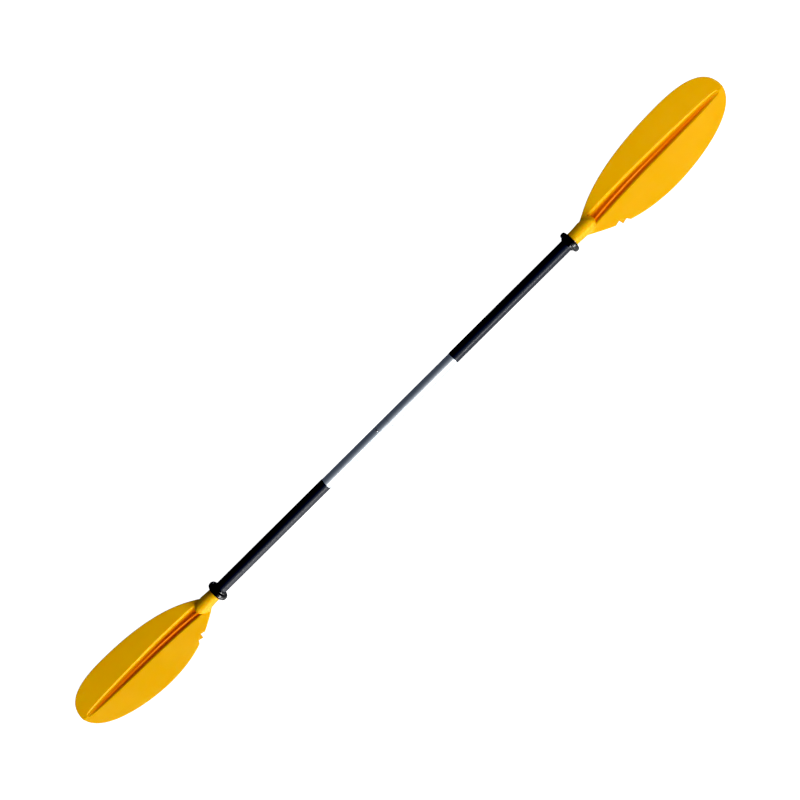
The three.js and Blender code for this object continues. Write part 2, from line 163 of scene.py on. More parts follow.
def turned(profile, segments=ROUND_SEGMENTS):
    """Points and faces of a closed profile of (x, radius) turned about the shaft axis."""
    points = []
    rings = []
    for x, radius in profile:
        if radius <= 0:
            rings.append([len(points)] * segments)
            points.append((x, 0, 0))
            continue
        rings.append(list(range(len(points), len(points) + segments)))
        for step in range(segments):
            turn = 2 * math.pi * step / segments
            points.append((x, radius * math.sin(turn), radius * math.cos(turn)))
    faces = []
    for index, ring in enumerate(rings):
        following = rings[(index + 1) % len(rings)]
        for step in range(segments):
            beside = (step + 1) % segments
            corners = [ring[step], ring[beside], following[beside], following[step]]
            face = list(dict.fromkeys(corners))
            if len(face) > 2:
                faces.append(face)
    return points, faces


def spoke(x, turn, radius, low, high, side=RIGHT):
    """A cylinder that leaves the shaft axis at x, turned from straight up towards +Y."""
    across = np.array([0, math.cos(turn), -math.sin(turn)])
    outward = np.array([0, math.sin(turn), math.cos(turn)])
    points = []
    for height in (low, high):
        for step in range(SMALL_SEGMENTS):
            angle = 2 * math.pi * step / SMALL_SEGMENTS
            offset = np.array([math.cos(angle), 0, 0]) * radius + across * radius * math.sin(angle)
            points.append(np.array([x, 0, 0]) + outward * height + offset)
    count = SMALL_SEGMENTS
    faces = [[s, (s + 1) % count, (s + 1) % count + count, s + count] for s in range(count)]
    faces.append(list(range(count)))
    faces.append(list(range(count, 2 * count)))
    return add_piece("cutter", points, faces, side)


def drill(piece, cutters):
    """Cuts the cutters out of the piece, and removes them."""
    for cutter in cutters:
        hole = piece.modifiers.new("hole", "BOOLEAN")
        hole.object = cutter
        hole.operation = "DIFFERENCE"
        hole.solver = "EXACT"
    evaluated = piece.evaluated_get(bpy.context.evaluated_depsgraph_get())
    piece.data = bpy.data.meshes.new_from_object(evaluated)
    piece.modifiers.clear()
    for cutter in cutters:
        bpy.data.objects.remove(cutter)


def round_normals(piece):
    """Gives the long walls of a drilled tube the normals of a true cylinder."""
    mesh = piece.data
    mesh.shade_smooth()
    nearly_radial = 0.97
    normals = []
    for face in mesh.polygons:
        for index in face.vertices:
            place = mesh.vertices[index].co
            radial = Vector((0, place.y, place.z - AXIS_HEIGHT * MM)).normalized()
            facing = radial.dot(face.normal)
            if abs(facing) > nearly_radial:
                normals.append(radial * (1 if facing > 0 else -1))
            else:
                normals.append(face.normal.copy())
    mesh.normals_split_custom_set(normals)


# ---- blade shape ----
TIP_X = 1100.0
THROAT_X = 645.0
NECK_RADIUS = 18.75  # at the throat; the neck narrows towards its mouth
MOUTH_RADIUS = 17.1
NOSE_START_X = 668.0
NOSE_END_X = 684.0
NOSE_CURVE = 14.0  # how much sooner the nose ends at its sides
NOSE_FOOT = 4.0  # how far below the channel's floor the nose's end face is carried
NOSE_BLEND = 2.4  # how softly the nose runs into the sheet
NOSE_BLEND_SHORT = 4.5  # and how much softer that is on the short side
NOSE_BLEND_REACH = 14.0
NECK_SIDE = 0.95  # share of the neck's radius where its section goes over into a straight line
NECK_SINK = 16.0  # how far the neck's underside sinks away under the sheet
NECK_SINK_XS = (NOSE_START_X, NOSE_END_X + 60)
WING_XS = (THROAT_X, THROAT_X + 14)  # where the round neck spreads into the sheet
LONG_EDGE = (
    ((648, NECK_RADIUS), (661, 10.5), (715, 82.7), (966, 82.7)),
    ((966, 82.7), (1052, 82.7), (TIP_X, 65), (TIP_X, 13)),
)
SHORT_EDGE = (
    ((THROAT_X, -NECK_RADIUS), (703, -49.5), (760, -82.8), (873, -82.8)),
    ((873, -82.8), (946, -82.8), (TIP_X, -60), (TIP_X, 13)),
)
BARBS = ((709, -50), (721.5, -47.5), (724, -58.5), (738, -55.5), (743.5, -63.5))

CREST_LOW = -14.75  # lowest height of the crest line, from the shaft axis
CREST_LOW_X = 920.0
CREST_BEND = 1.7e-4
DIHEDRAL_SLOPE = 0.13
SHEET_THICKNESS = 3.6
EDGE_THICKNESS = 2.4
THIN_FROM_AXIS = 80.0
RIM_RADIUS = 1.6
BACK_BLEND = 4.0

CHANNEL_FROM_X = 674.0
CHANNEL_TO_X = 1085.0
CHANNEL_HALF_WIDTH = 16.8
CHANNEL_DEPTH = 9.0
CHANNEL_OFFSET = 6.3  # how far its middle ends up towards the long edge
CHANNEL_OFFSET_XS = (600, 850)
CHANNEL_START_XS = (CHANNEL_FROM_X - 4, CHANNEL_FROM_X + 2)  # where its depth sets in
CHANNEL_WIDTH_FADE = 0.24  # powers that narrow it and make it shallower towards the tip
CHANNEL_DEPTH_FADE = 0.4
SOFT_WALL = 0.42  # share of the width taken by the wall on the short side
STEEP_WALL = 0.2  # share taken by the wall on the long side
RIB_HEIGHT = 4.5
RIB_HALF_WIDTH = 3.4
RIB_END_X = 930.0
RIB_SHIFT = 4.0  # how far the rib starts towards the short edge
RIB_SHIFT_REACH = 60.0
BACK_WALL = 3.0  # how much wider the channel is on the back of the blade
# The channel's reddish colour is painted shade, strongest on its shaded short-side wall and floor.
PAINTED_SHADE_FADE = (0.4, 0.84)  # where across the channel its painted shade fades out
PAINTED_SHADE_LEAST = 0.1

NECK_STATIONS = 13
THROAT_STATIONS = (THROAT_X + 0.6, 706, 0.9)  # first, last and the gap between them
BARB_STATIONS = (710, 746, 2)
BARB_GAP = 0.35  # cross-sections just before and after a barb's corner keep it sharp
MIDDLE_STATIONS = (748, 1030, 2.6)
TIP_STATIONS = 44
TIP_REACH = 70.0  # the last cross-sections draw closer together over this length
TIP_GAP = 0.1
EDGE_POINTS = 1500
FINE_POINTS = 1200  # the places that each cross-section's points are chosen from
POINTS_ACROSS = 150
LIP_MARGIN = 3.0
LIP_SPACING = 0.55
OPEN_SPACING = 2.6
RIM_SPACING = 0.12
RIM_GROWTH = 0.5  # how fast the spacing grows with distance from the rim


def bezier(arc, count):
    """Points along a cubic curve of four control points."""
    t = np.linspace(0, 1, count)[:, None]
    a, b, c, d = (np.array(point, float) for point in arc)
    return (1 - t) ** 3 * a + 3 * (1 - t) ** 2 * t * b + 3 * (1 - t) * t * t * c + t**3 * d


def edge_line(arcs):
    return np.vstack([bezier(arc, EDGE_POINTS) for arc in arcs])


LONG_LINE = edge_line(LONG_EDGE)
SHORT_LINE = edge_line(SHORT_EDGE)


def smoothstep(value, low, high):
    """0 below low and 1 above high, with a smooth rise between."""
    t = np.clip((value - low) / (high - low), 0, 1)
    return t * t * (3 - 2 * t)


def smooth_max(a, b, blend):
    """The greater of two heights, with the crease between them rounded."""
    h = np.clip(0.5 + 0.5 * (a - b) / blend, 0, 1)
    return b + (a - b) * h + blend * h * (1 - h)


def smooth_min(a, b, blend):
    return -smooth_max(-a, -b, blend)


def neck_radius(x):
    share = np.clip((x - NECK_START_X) / (THROAT_X - NECK_START_X), 0, 1)
    return MOUTH_RADIUS + (NECK_RADIUS - MOUTH_RADIUS) * share**2


def long_y(x):
    line = np.interp(x, LONG_LINE[:, 0], LONG_LINE[:, 1])
    return np.where(x > THROAT_X, line, neck_radius(x))


def smooth_short_y(x):
    """The short edge as if it had no barbs."""
    line = np.interp(x, SHORT_LINE[:, 0], SHORT_LINE[:, 1])
    return np.where(x > THROAT_X, line, -neck_radius(x))


def short_y(x):
    """The short edge with its two saw-tooth notches."""
    barbs = np.array(BARBS, float)
    inside = (x > barbs[0, 0]) & (x < barbs[-1, 0])
    return np.where(inside, np.interp(x, barbs[:, 0], barbs[:, 1]), smooth_short_y(x))


def channel_share(x):
    """1 where the channel starts and 0 where it ends."""
    return np.clip((CHANNEL_TO_X - x) / (CHANNEL_TO_X - CHANNEL_FROM_X), 0, 1)


def channel_centre(x):
    return CHANNEL_OFFSET * smoothstep(x, *CHANNEL_OFFSET_XS)


def channel_half(x):
    return CHANNEL_HALF_WIDTH * channel_share(x) ** CHANNEL_WIDTH_FADE


def channel_across(x, y, wall=0.0):
    """0 at the channel's short side and 1 at its long side."""
    half = np.maximum(channel_half(x) + wall, 0.01)
    return (y - channel_centre(x) + half) / (2 * half)


def channel_profile(x, y, wall=0.0):
    """How deep the channel is: a soft short-side wall, a flat floor and a steep long-side wall."""
    across = channel_across(x, y, wall)
    soft = smoothstep(across, 0, SOFT_WALL)
    steep = smoothstep(1 - across, 0, STEEP_WALL)
    starts = smoothstep(x, *CHANNEL_START_XS)
    return CHANNEL_DEPTH * channel_share(x) ** CHANNEL_DEPTH_FADE * soft * steep * starts


def painted_shade_share(x, y):
    """Painted shade in the channel: 1 from the short side to the channel's middle, fading out towards
    the steep wall.
    """
    return 1 - (1 - PAINTED_SHADE_LEAST) * smoothstep(channel_across(x, y), *PAINTED_SHADE_FADE)


def rib_profile(x, y):
    """The low rib along the channel's floor, which drifts across it and fades out."""
    shift = RIB_SHIFT * np.exp(-np.maximum(x - NOSE_END_X, 0) / RIB_SHIFT_REACH)
    share = np.clip((RIB_END_X - x) / (RIB_END_X - CHANNEL_FROM_X), 0, 1)
    across = (y - channel_centre(x) + shift) / RIB_HALF_WIDTH
    starts = smoothstep(x, *CHANNEL_START_XS)
    return RIB_HEIGHT * share * np.exp(-across * across) * starts


def crest_height(x):
    """The blade's lengthwise curve."""
    return CREST_LOW + CREST_BEND * (x - CREST_LOW_X) ** 2


def sheet_height(x, y):
    """The power face without its channel: a bent crest that falls gently to both edges."""
    high, low = long_y(x), smooth_short_y(x)
    centre = channel_centre(x)
    reach = np.maximum(np.where(y > centre, high - centre, centre - low), 1)
    return crest_height(x) - DIHEDRAL_SLOPE * (high - low) * np.abs(y - centre) / (2 * reach)


def neck_round(x, y):
    """Half the neck's section, carried on as a steep straight line past its side."""
    radius = neck_radius(x)
    side = NECK_SIDE * radius
    slope = side / np.sqrt(radius**2 - side**2)
    inside = np.sqrt(np.maximum(radius**2 - np.minimum(np.abs(y), side) ** 2, 0))
    return inside - slope * np.maximum(np.abs(y) - side, 0)


def top_height(x, y):
    """The power face, with the neck's blunt nose standing on it."""
    sheet = sheet_height(x, y) - channel_profile(x, y) + rib_profile(x, y)
    rounded_x = x + NOSE_CURVE * (y / NECK_RADIUS) ** 2
    along = np.clip((rounded_x - NOSE_START_X) / (NOSE_END_X - NOSE_START_X), 0, 1)
    floor = crest_height(x) - CHANNEL_DEPTH - NOSE_FOOT
    neck = floor + (neck_round(x, y) - floor) * np.sqrt(1 - along * along)
    blend = NOSE_BLEND + NOSE_BLEND_SHORT * smoothstep(-y, 0, NOSE_BLEND_REACH)
    return np.where(along < 1, smooth_max(sheet, neck, blend), sheet)


def bottom_height(x, y):
    """The back of the blade, with the neck's underside running out along it."""
    share = np.clip(np.abs(y) / THIN_FROM_AXIS, 0, 1)
    thickness = SHEET_THICKNESS + (EDGE_THICKNESS - SHEET_THICKNESS) * share
    sheet = sheet_height(x, y) - channel_profile(x, y, BACK_WALL) - thickness
    fade = NECK_SINK * smoothstep(x, *NECK_SINK_XS)
    return smooth_min(sheet, fade - neck_round(x, y), BACK_BLEND)


def blade_stations():
    """Where the cross-sections are, closest together at the throat, the barbs and the tip."""
    neck = np.linspace(NECK_START_X, THROAT_X, NECK_STATIONS)
    throat = np.arange(*THROAT_STATIONS)
    corners = np.array([point[0] for point in BARBS], float)
    around = (corners, corners - BARB_GAP, corners + BARB_GAP, np.arange(*BARB_STATIONS))
    barbs = np.sort(np.concatenate(around))
    middle = np.arange(*MIDDLE_STATIONS)
    closing = np.sin(np.linspace(0, math.pi / 2, TIP_STATIONS))
    tip = TIP_X - TIP_GAP - TIP_REACH * (1 - closing)
    return np.concatenate([neck, throat, barbs, middle, tip])


def across_blade(x, count):
    """Places from the short to the long edge, close together at the rims and over the channel."""
    low, high = float(short_y(x)), float(long_y(x))
    fine = np.linspace(low, high, FINE_POINTS)
    rim = np.minimum(fine - low, high - fine)
    lips = np.abs(fine - channel_centre(x)) < channel_half(x) + LIP_MARGIN
    spacing = np.where(lips, LIP_SPACING, OPEN_SPACING)
    spacing = np.minimum(spacing, RIM_SPACING + rim * RIM_GROWTH)
    share = np.concatenate([[0], np.cumsum(1 / spacing)])[:-1]
    even = np.interp(np.linspace(0, share[-1], count), share, fine)
    turn = np.linspace(-math.pi / 2, math.pi / 2, count)
    round_y = np.where(turn < 0, -low, high) * np.sin(turn)
    return round_y + (even - round_y) * float(smoothstep(x, *WING_XS))


def outline_distance(x, y):
    """How far each place is from the blade's outline."""
    barbs = np.array(BARBS, float)
    before = SHORT_LINE[SHORT_LINE[:, 0] <= barbs[0, 0]]
    after = SHORT_LINE[SHORT_LINE[:, 0] >= barbs[-1, 0]]
    short = np.vstack([before, barbs, after])
    outline = np.vstack([short, LONG_LINE[::-1]])[::3]
    nearest = np.full(x.shape, np.inf)
    for (ax, ay), (bx, by) in zip(outline[:-1], outline[1:]):
        dx, dy = bx - ax, by - ay
        length = max(dx * dx + dy * dy, 1e-9)
        t = np.clip(((x - ax) * dx + (y - ay) * dy) / length, 0, 1)
        nearest = np.minimum(nearest, np.hypot(x - ax - t * dx, y - ay - t * dy))
    return nearest


def blade_points():
    """The power face and back face as grids of (x, y, z), and each place's rim distance."""
    stations = blade_stations()
    y = np.array([across_blade(x, POINTS_ACROSS) for x in stations])
    x = np.repeat(stations[:, None], POINTS_ACROSS, axis=1)
    top, bottom = top_height(x, y), bottom_height(x, y)
    distance = outline_distance(x, y)
    reach = np.clip(distance / RIM_RADIUS, 0, 1)
    rim = np.sqrt(1 - (1 - reach) ** 2)
    middle, half = (top + bottom) / 2, (top - bottom) / 2
    winged = smoothstep(x, *WING_XS)
    circle = np.sqrt(np.maximum(neck_radius(x) ** 2 - y * y, 0))
    upper = circle + (middle + half * rim - circle) * winged
    lower = -circle + (middle - half * rim + circle) * winged
    return x, y, upper, lower, distance


def make_blade(name, side):
    """One moulding: power face, back face and rim in one loop, and a socket for the tube."""
    x, y, upper, lower, distance = blade_points()
    rows, count = x.shape
    loop = 2 * count - 2
    points = []
    rim_values = []
    painted_shade_depths = []
    # Painted shade: how far the channel falls below the sheet, kept on its shaded side and floor.
    depth = np.maximum(sheet_height(x, y) - upper, 0) * painted_shade_share(x, y)
    for row in range(rows):
        for column in range(count):
            points.append((x[row, column], y[row, column], upper[row, column]))
            rim_values.append(distance[row, column])
            painted_shade_depths.append(depth[row, column])
        for column in range(count - 2, 0, -1):
            points.append((x[row, column], y[row, column], lower[row, column]))
            rim_values.append(distance[row, column])
            painted_shade_depths.append(0)
    faces = []
    for row in range(rows - 1):
        for step in range(loop):
            beside = (step + 1) % loop
            a, b = row * loop + step, row * loop + beside
            faces.append((a, b, b + loop, a + loop))
    last = (rows - 1) * loop
    faces.append([last + step for step in range(loop)])
    far_from_rim = 5
    inner = []
    for socket_x in (NECK_START_X, SOCKET_END_X):
        inner.append(len(points))
        for step in range(loop):
            _, edge_y, edge_z = points[step]
            scale = SOCKET_RADIUS / math.hypot(edge_y, edge_z)
            points.append((socket_x, edge_y * scale, edge_z * scale))
            rim_values.append(far_from_rim)
            painted_shade_depths.append(0)
    for step in range(loop):
        beside = (step + 1) % loop
        faces.append((step, inner[0] + step, inner[0] + beside, beside))
        faces.append((inner[0] + step, inner[1] + step, inner[1] + beside, inner[0] + beside))
    faces.append([inner[1] + step for step in range(loop)])
    piece = add_piece(name, points, faces, side)
    for label, values in (("rim", rim_values), ("depth", painted_shade_depths)):
        attribute = piece.data.attributes.new(label, "FLOAT", "POINT")
        attribute.data.foreach_set("value", np.array(values, np.float32))
    shade(piece, 50)
    return piece


# ---- material helpers ----
class Look:
    """A Principled material with short ways to add noise, ramps and bump."""

    def __init__(self, name, **values):
        self.material = bpy.data.materials.new(name)
        self.material.use_nodes = True
        self.tree = self.material.node_tree
        self.shader = self.tree.nodes["Principled BSDF"]
        for label, value in values.items():
            self.shader.inputs[label.replace("_", " ")].default_value = value
        self.place = self.tree.nodes.new("ShaderNodeTexCoord").outputs["Object"]

    def link(self, output, target):
        self.tree.links.new(output, target)

    def noise(self, stretch, scale, detail=4.0, roughness=0.55):
        """Noise fixed to the object; scale is how many of its waves fit in a metre."""
        mapping = self.tree.nodes.new("ShaderNodeMapping")
        mapping.inputs["Scale"].default_value = stretch
        self.link(self.place, mapping.inputs["Vector"])
        noise = self.tree.nodes.new("ShaderNodeTexNoise")
        noise.inputs["Scale"].default_value = scale
        noise.inputs["Detail"].default_value = detail
        noise.inputs["Roughness"].default_value = roughness
        self.link(mapping.outputs["Vector"], noise.inputs["Vector"])
        return noise.outputs["Fac"]

    def attribute(self, name):
        attribute = self.tree.nodes.new("ShaderNodeAttribute")
        attribute.attribute_name = name
        return attribute.outputs["Fac"]

    def range(self, value, low, high, to_low=0.0, to_high=1.0):
        """The value's way from low to high, eased into the way from to_low to to_high."""
        mapped = self.tree.nodes.new("ShaderNodeMapRange")
        mapped.interpolation_type = "SMOOTHSTEP"
        mapped.inputs["From Min"].default_value = low
        mapped.inputs["From Max"].default_value = high
        mapped.inputs["To Min"].default_value = to_low
        mapped.inputs["To Max"].default_value = to_high
        self.link(value, mapped.inputs["Value"])
        return mapped.outputs["Result"]

    def math(self, kind, first, second):
        node = self.tree.nodes.new("ShaderNodeMath")
        node.operation = kind
        for target, value in zip(node.inputs, (first, second)):
            if isinstance(value, (int, float)):
                target.default_value = value
            else:
                self.link(value, target)
        return node.outputs["Value"]

    def mix(self, factor, first, second):
        node = self.tree.nodes.new("ShaderNodeMix")
        node.data_type = "RGBA"
        self.link(factor, node.inputs["Factor"])
        for label, value in (("A_Color", first), ("B_Color", second)):
            target = next(i for i in node.inputs if i.identifier == label)
            if isinstance(value, tuple):
                target.default_value = (*value, 1)
            else:
                self.link(value, target)
        return next(o for o in node.outputs if o.identifier == "Result_Color")

    def colour(self, output):
        self.link(output, self.shader.inputs["Base Color"])

    def rough(self, output):
        self.link(output, self.shader.inputs["Roughness"])

    def bump(self, height, strength, distance_mm):
        bump = self.tree.nodes.new("ShaderNodeBump")
        bump.inputs["Strength"].default_value = strength
        bump.inputs["Distance"].default_value = distance_mm * MM
        self.link(height, bump.inputs["Height"])
        self.link(bump.outputs["Normal"], self.shader.inputs["Normal"])


EVEN = (1, 1, 1)
ALONG_SHAFT = (0.04, 1, 1)


def blade_plastic():
    """Yellow that lets some light in, with reddish painted shade down the channel's shaded side, and
    pale on the scuffed rim.
    """
    yellow_low, yellow_high = (0.77, 0.405, 0.02), (0.8, 0.425, 0.024)
    freckle = (0.78, 0.385, 0.02)
    # the colour of the painted shade in the channel
    painted_shade_orange = (0.72, 0.17, 0.015)
    scuffed = (0.9, 0.6, 0.1)
    look = Look("blade_plastic", IOR=1.4, Subsurface_Weight=0.4, Subsurface_Scale=0.005)
    look.shader.inputs["Subsurface Radius"].default_value = (1.0, 0.3, 0.05)
    look.shader.inputs["Specular Tint"].default_value = (1.0, 0.72, 0.12, 1)
    cloud = look.range(look.noise(EVEN, 9, 3), 0.3, 0.7)
    yellow = look.mix(cloud, yellow_low, yellow_high)
    speck = look.range(look.noise(EVEN, 900, 2), 0.62, 0.74, 0, 0.35)
    yellow = look.mix(speck, yellow, freckle)
    # Painted shade: the channel's shaded wall and floor turn reddish with the depth attribute.
    deep = look.range(look.attribute("depth"), 0.3, 4)
    yellow = look.mix(deep, yellow, painted_shade_orange)
    near_rim = look.range(look.attribute("rim"), 0.3, 4, 1, 0)
    worn = look.range(look.noise(EVEN, 130, 5), 0.5, 0.72, 0, 0.5)
    scuff = look.math("MULTIPLY", near_rim, worn)
    look.colour(look.mix(scuff, yellow, scuffed))
    gloss = look.range(look.noise(EVEN, 35, 2), 0.3, 0.75, 0.33, 0.38)
    look.rough(look.math("ADD", gloss, look.math("MULTIPLY", scuff, 0.4)))
    waves = look.math("MULTIPLY", look.noise(EVEN, 40, 1), 2)
    look.bump(look.math("ADD", look.noise(EVEN, 420, 3), waves), 0.2, 0.04)
    return look.material


def shaft_aluminium():
    """Drawn tube, with faint lines along its length."""
    dull, bright = (0.8, 0.88, 0.95), (0.84, 0.91, 0.97)
    look = Look("shaft_aluminium", Metallic=1.0)
    draw = look.noise(ALONG_SHAFT, 900, 4, 0.7)
    cloud = look.range(look.noise(EVEN, 14, 3), 0.3, 0.7)
    look.colour(look.mix(cloud, dull, bright))
    look.rough(look.range(draw, 0.3, 0.7, 0.36, 0.46))
    look.bump(draw, 0.18, 0.02)
    return look.material


def grip_rubber():
    """Black sleeve with a fine grain and soft lines along its length."""
    dark, light = (0.011, 0.013, 0.021), (0.015, 0.018, 0.027)
    look = Look("grip_rubber", IOR=1.34)
    fine = look.noise(EVEN, 1100, 3)
    lines = look.noise(ALONG_SHAFT, 260, 4)
    look.colour(look.mix(look.range(lines, 0.35, 0.7), dark, light))
    look.rough(look.range(fine, 0.3, 0.7, 0.28, 0.42))
    look.bump(look.math("ADD", fine, look.math("MULTIPLY", lines, 2)), 0.3, 0.05)
    return look.material


def ring_rubber():
    """Smoother and blacker than the grips, so that its edges catch small highlights."""
    dark, light = (0.002, 0.002, 0.003), (0.006, 0.006, 0.007)
    look = Look("ring_rubber", IOR=1.5)
    fine = look.noise(EVEN, 700, 4)
    look.colour(look.mix(look.range(fine, 0.3, 0.7), dark, light))
    look.rough(look.range(look.noise(EVEN, 60, 4), 0.3, 0.7, 0.19, 0.25))
    look.bump(fine, 0.08, 0.03)
    return look.material


def plain_grain(name, dark, light, rough_low, rough_high, scale, bump_mm, **values):
    """A moulded, foamed or metal surface whose colour and gloss follow one grain."""
    look = Look(name, **values)
    grain = look.noise(EVEN, scale, 5)
    look.colour(look.mix(look.range(grain, 0.3, 0.7), dark, light))
    look.rough(look.range(grain, 0.3, 0.7, rough_low, rough_high))
    look.bump(grain, 0.4, bump_mm)
    return look.material


BLADE_PLASTIC = blade_plastic()
SHAFT_ALUMINIUM = shaft_aluminium()
GRIP_RUBBER = grip_rubber()
RING_RUBBER = ring_rubber()
FERRULE_NYLON = plain_grain(
    "ferrule_nylon", (0.022, 0.023, 0.026), (0.04, 0.042, 0.046), 0.4, 0.55, 500, 0.04
)
PLUG_FOAM = plain_grain(
    "plug_foam", (0.03, 0.03, 0.033), (0.09, 0.09, 0.095), 0.8, 0.95, 650, 0.35
)
SPRING_STEEL = plain_grain(
    "spring_steel", (0.55, 0.56, 0.58), (0.68, 0.69, 0.7), 0.2, 0.34, 400, 0.01, Metallic=1.0
)
RIVET_METAL = plain_grain(
    "rivet_metal", (0.6, 0.61, 0.62), (0.74, 0.75, 0.76), 0.28, 0.42, 300, 0.02, Metallic=1.0
)


# ---- shaft pieces ----
def make_tube(name, side, holes):
    """A half of the shaft's tube, drilled for its rivets and for the holes given."""
    profile = [
        (SEAM_X, TUBE_BORE),
        (TUBE_END_X, TUBE_BORE),
        (TUBE_END_X, TUBE_RADIUS),
        (SEAM_X, TUBE_RADIUS),
    ]
    piece = add_piece(name, *turned(rounded(profile, 0.35)), side)
    drill(piece, holes + rivet_holes(BLADE_RIVET_XS, side))
    round_normals(piece)
    return piece


def make_grip(name, side):
    """A plain sleeve with soft ends."""
    profile = [
        (GRIP_START_X, GRIP_BORE),
        (GRIP_END_X, GRIP_BORE),
        (GRIP_END_X, GRIP_RADIUS),
        (GRIP_START_X, GRIP_RADIUS),
    ]
    piece = add_piece(name, *turned(rounded(profile, 0.5)), side)
    shade(piece, 38)
    return piece


def make_ring(name, side):
    """A rounded rim and a hub, with a dish on the grip side and a gutter on the neck side."""
    length, hub = 17.5, 19.5
    gutter_depth, dish_x = 2.2, 12.4
    profile = [
        (0, RING_BORE),
        (0, hub),
        (gutter_depth, hub + 1),
        (gutter_depth, hub + 3),
        (0, hub + 4.3),
        (1.2, hub + 6.7),
        (3.8, RING_RADIUS),
        (9.4, RING_RADIUS),
        (12.6, hub + 6.9),
        (13.8, hub + 4.1),
        (dish_x, hub + 1.2),
        (13.2, hub),
        (length - 1, hub - 0.6),
        (length, hub - 1.8),
        (length, RING_BORE),
    ]
    outline = [(RING_NECK_FACE_X - along, radius) for along, radius in profile]
    piece = add_piece(name, *turned(rounded(outline, 1.6, 7)), side)
    shade(piece, 60)
    return piece


def make_ferrule():
    """The sleeve that joins the halves, with a groove for the seal and a hole for the button."""
    groove, groove_radius = 1.3, 11.9
    lead_length, lead_height = 1.5, 0.75
    profile = [
        (FERRULE_START_X, FERRULE_BORE),
        (FERRULE_END_X, FERRULE_BORE),
        (FERRULE_END_X, FERRULE_RADIUS),
        (SEAL_X + groove, FERRULE_RADIUS),
        (SEAL_X + groove, groove_radius),
        (SEAL_X - groove, groove_radius),
        (SEAL_X - groove, FERRULE_RADIUS),
        (FERRULE_START_X + lead_length, FERRULE_RADIUS),
        (FERRULE_START_X, FERRULE_RADIUS - lead_height),
    ]
    piece = add_piece("ferrule_fine", *turned(rounded(profile, 0.25)))
    button_hole = spoke(BUTTON_X, BUTTON_TURNS[0], BUTTON_HOLE_RADIUS, *HOLE_REACH)
    drill(piece, [button_hole] + rivet_holes(FERRULE_RIVET_XS, RIGHT))
    round_normals(piece)
    return piece


def make_seal():
    """A rubber ring of round section in the ferrule's groove."""
    centre, radius = 12.75, 0.6
    turns = np.linspace(0, 2 * math.pi, 20, endpoint=False)
    profile = [(SEAL_X + radius * math.cos(a), centre + radius * math.sin(a)) for a in turns]
    piece = add_piece("seal_fine", *turned(profile))
    shade(piece, 60)
    return piece


def rivet_holes(xs, side):
    return [spoke(x, math.pi, RIVET_HOLE_RADIUS, *HOLE_REACH, side) for x in xs]


def make_rivet(name, x, outside, inside, side):
    """A blind rivet on the underside of the shaft: a domed head outside and a set bulge inside."""
    seat = outside + 0.2
    dome, bulge = 1.3, 3.2
    profile = [
        (inside - 3, 0),
        (inside - 2.7, bulge - 1),
        (inside - 1.8, bulge),
        (inside - 0.9, bulge),
        (inside - 0.7, RIVET_SHANK_RADIUS),
        (seat, RIVET_SHANK_RADIUS),
        (seat, RIVET_HEAD_RADIUS),
    ]
    for turn in np.linspace(0.15, math.pi / 2, 10):
        profile.append((seat + dome * math.sin(turn), RIVET_HEAD_RADIUS * math.cos(turn)))
    profile[-1] = (seat + dome, 0)
    points, faces = turned(profile, SMALL_SEGMENTS)
    placed = [(x + b, c, -a) for a, b, c in points]
    piece = add_piece(name, placed, faces, side)
    shade(piece, 50)
    return piece


def make_plug(name, xs, side):
    """A foam plug in the tube's bore, with soft corners."""
    profile = [(xs[0], 0), (xs[0], PLUG_RADIUS), (xs[1], PLUG_RADIUS), (xs[1], 0)]
    piece = add_piece(name, *turned(rounded(profile, 1.2)), side)
    shade(piece, 60)
    return piece


def make_ferrule_plug():
    """The cap in the ferrule's open end: a flange outside and a stem in the bore."""
    seat_x = FERRULE_START_X - 0.3
    flange_x = seat_x - 2
    stem_x = FERRULE_START_X + 11
    profile = [
        (flange_x, 0),
        (stem_x, 0),
        (stem_x, FERRULE_BORE - 0.6),
        (seat_x, FERRULE_BORE - 0.4),
        (seat_x, FERRULE_RADIUS - 1.1),
        (flange_x, FERRULE_RADIUS - 1.6),
    ]
    piece = add_piece("ferrule_plug_fine", *turned(rounded(profile, 0.5)))
    shade(piece, 50)
    return piece


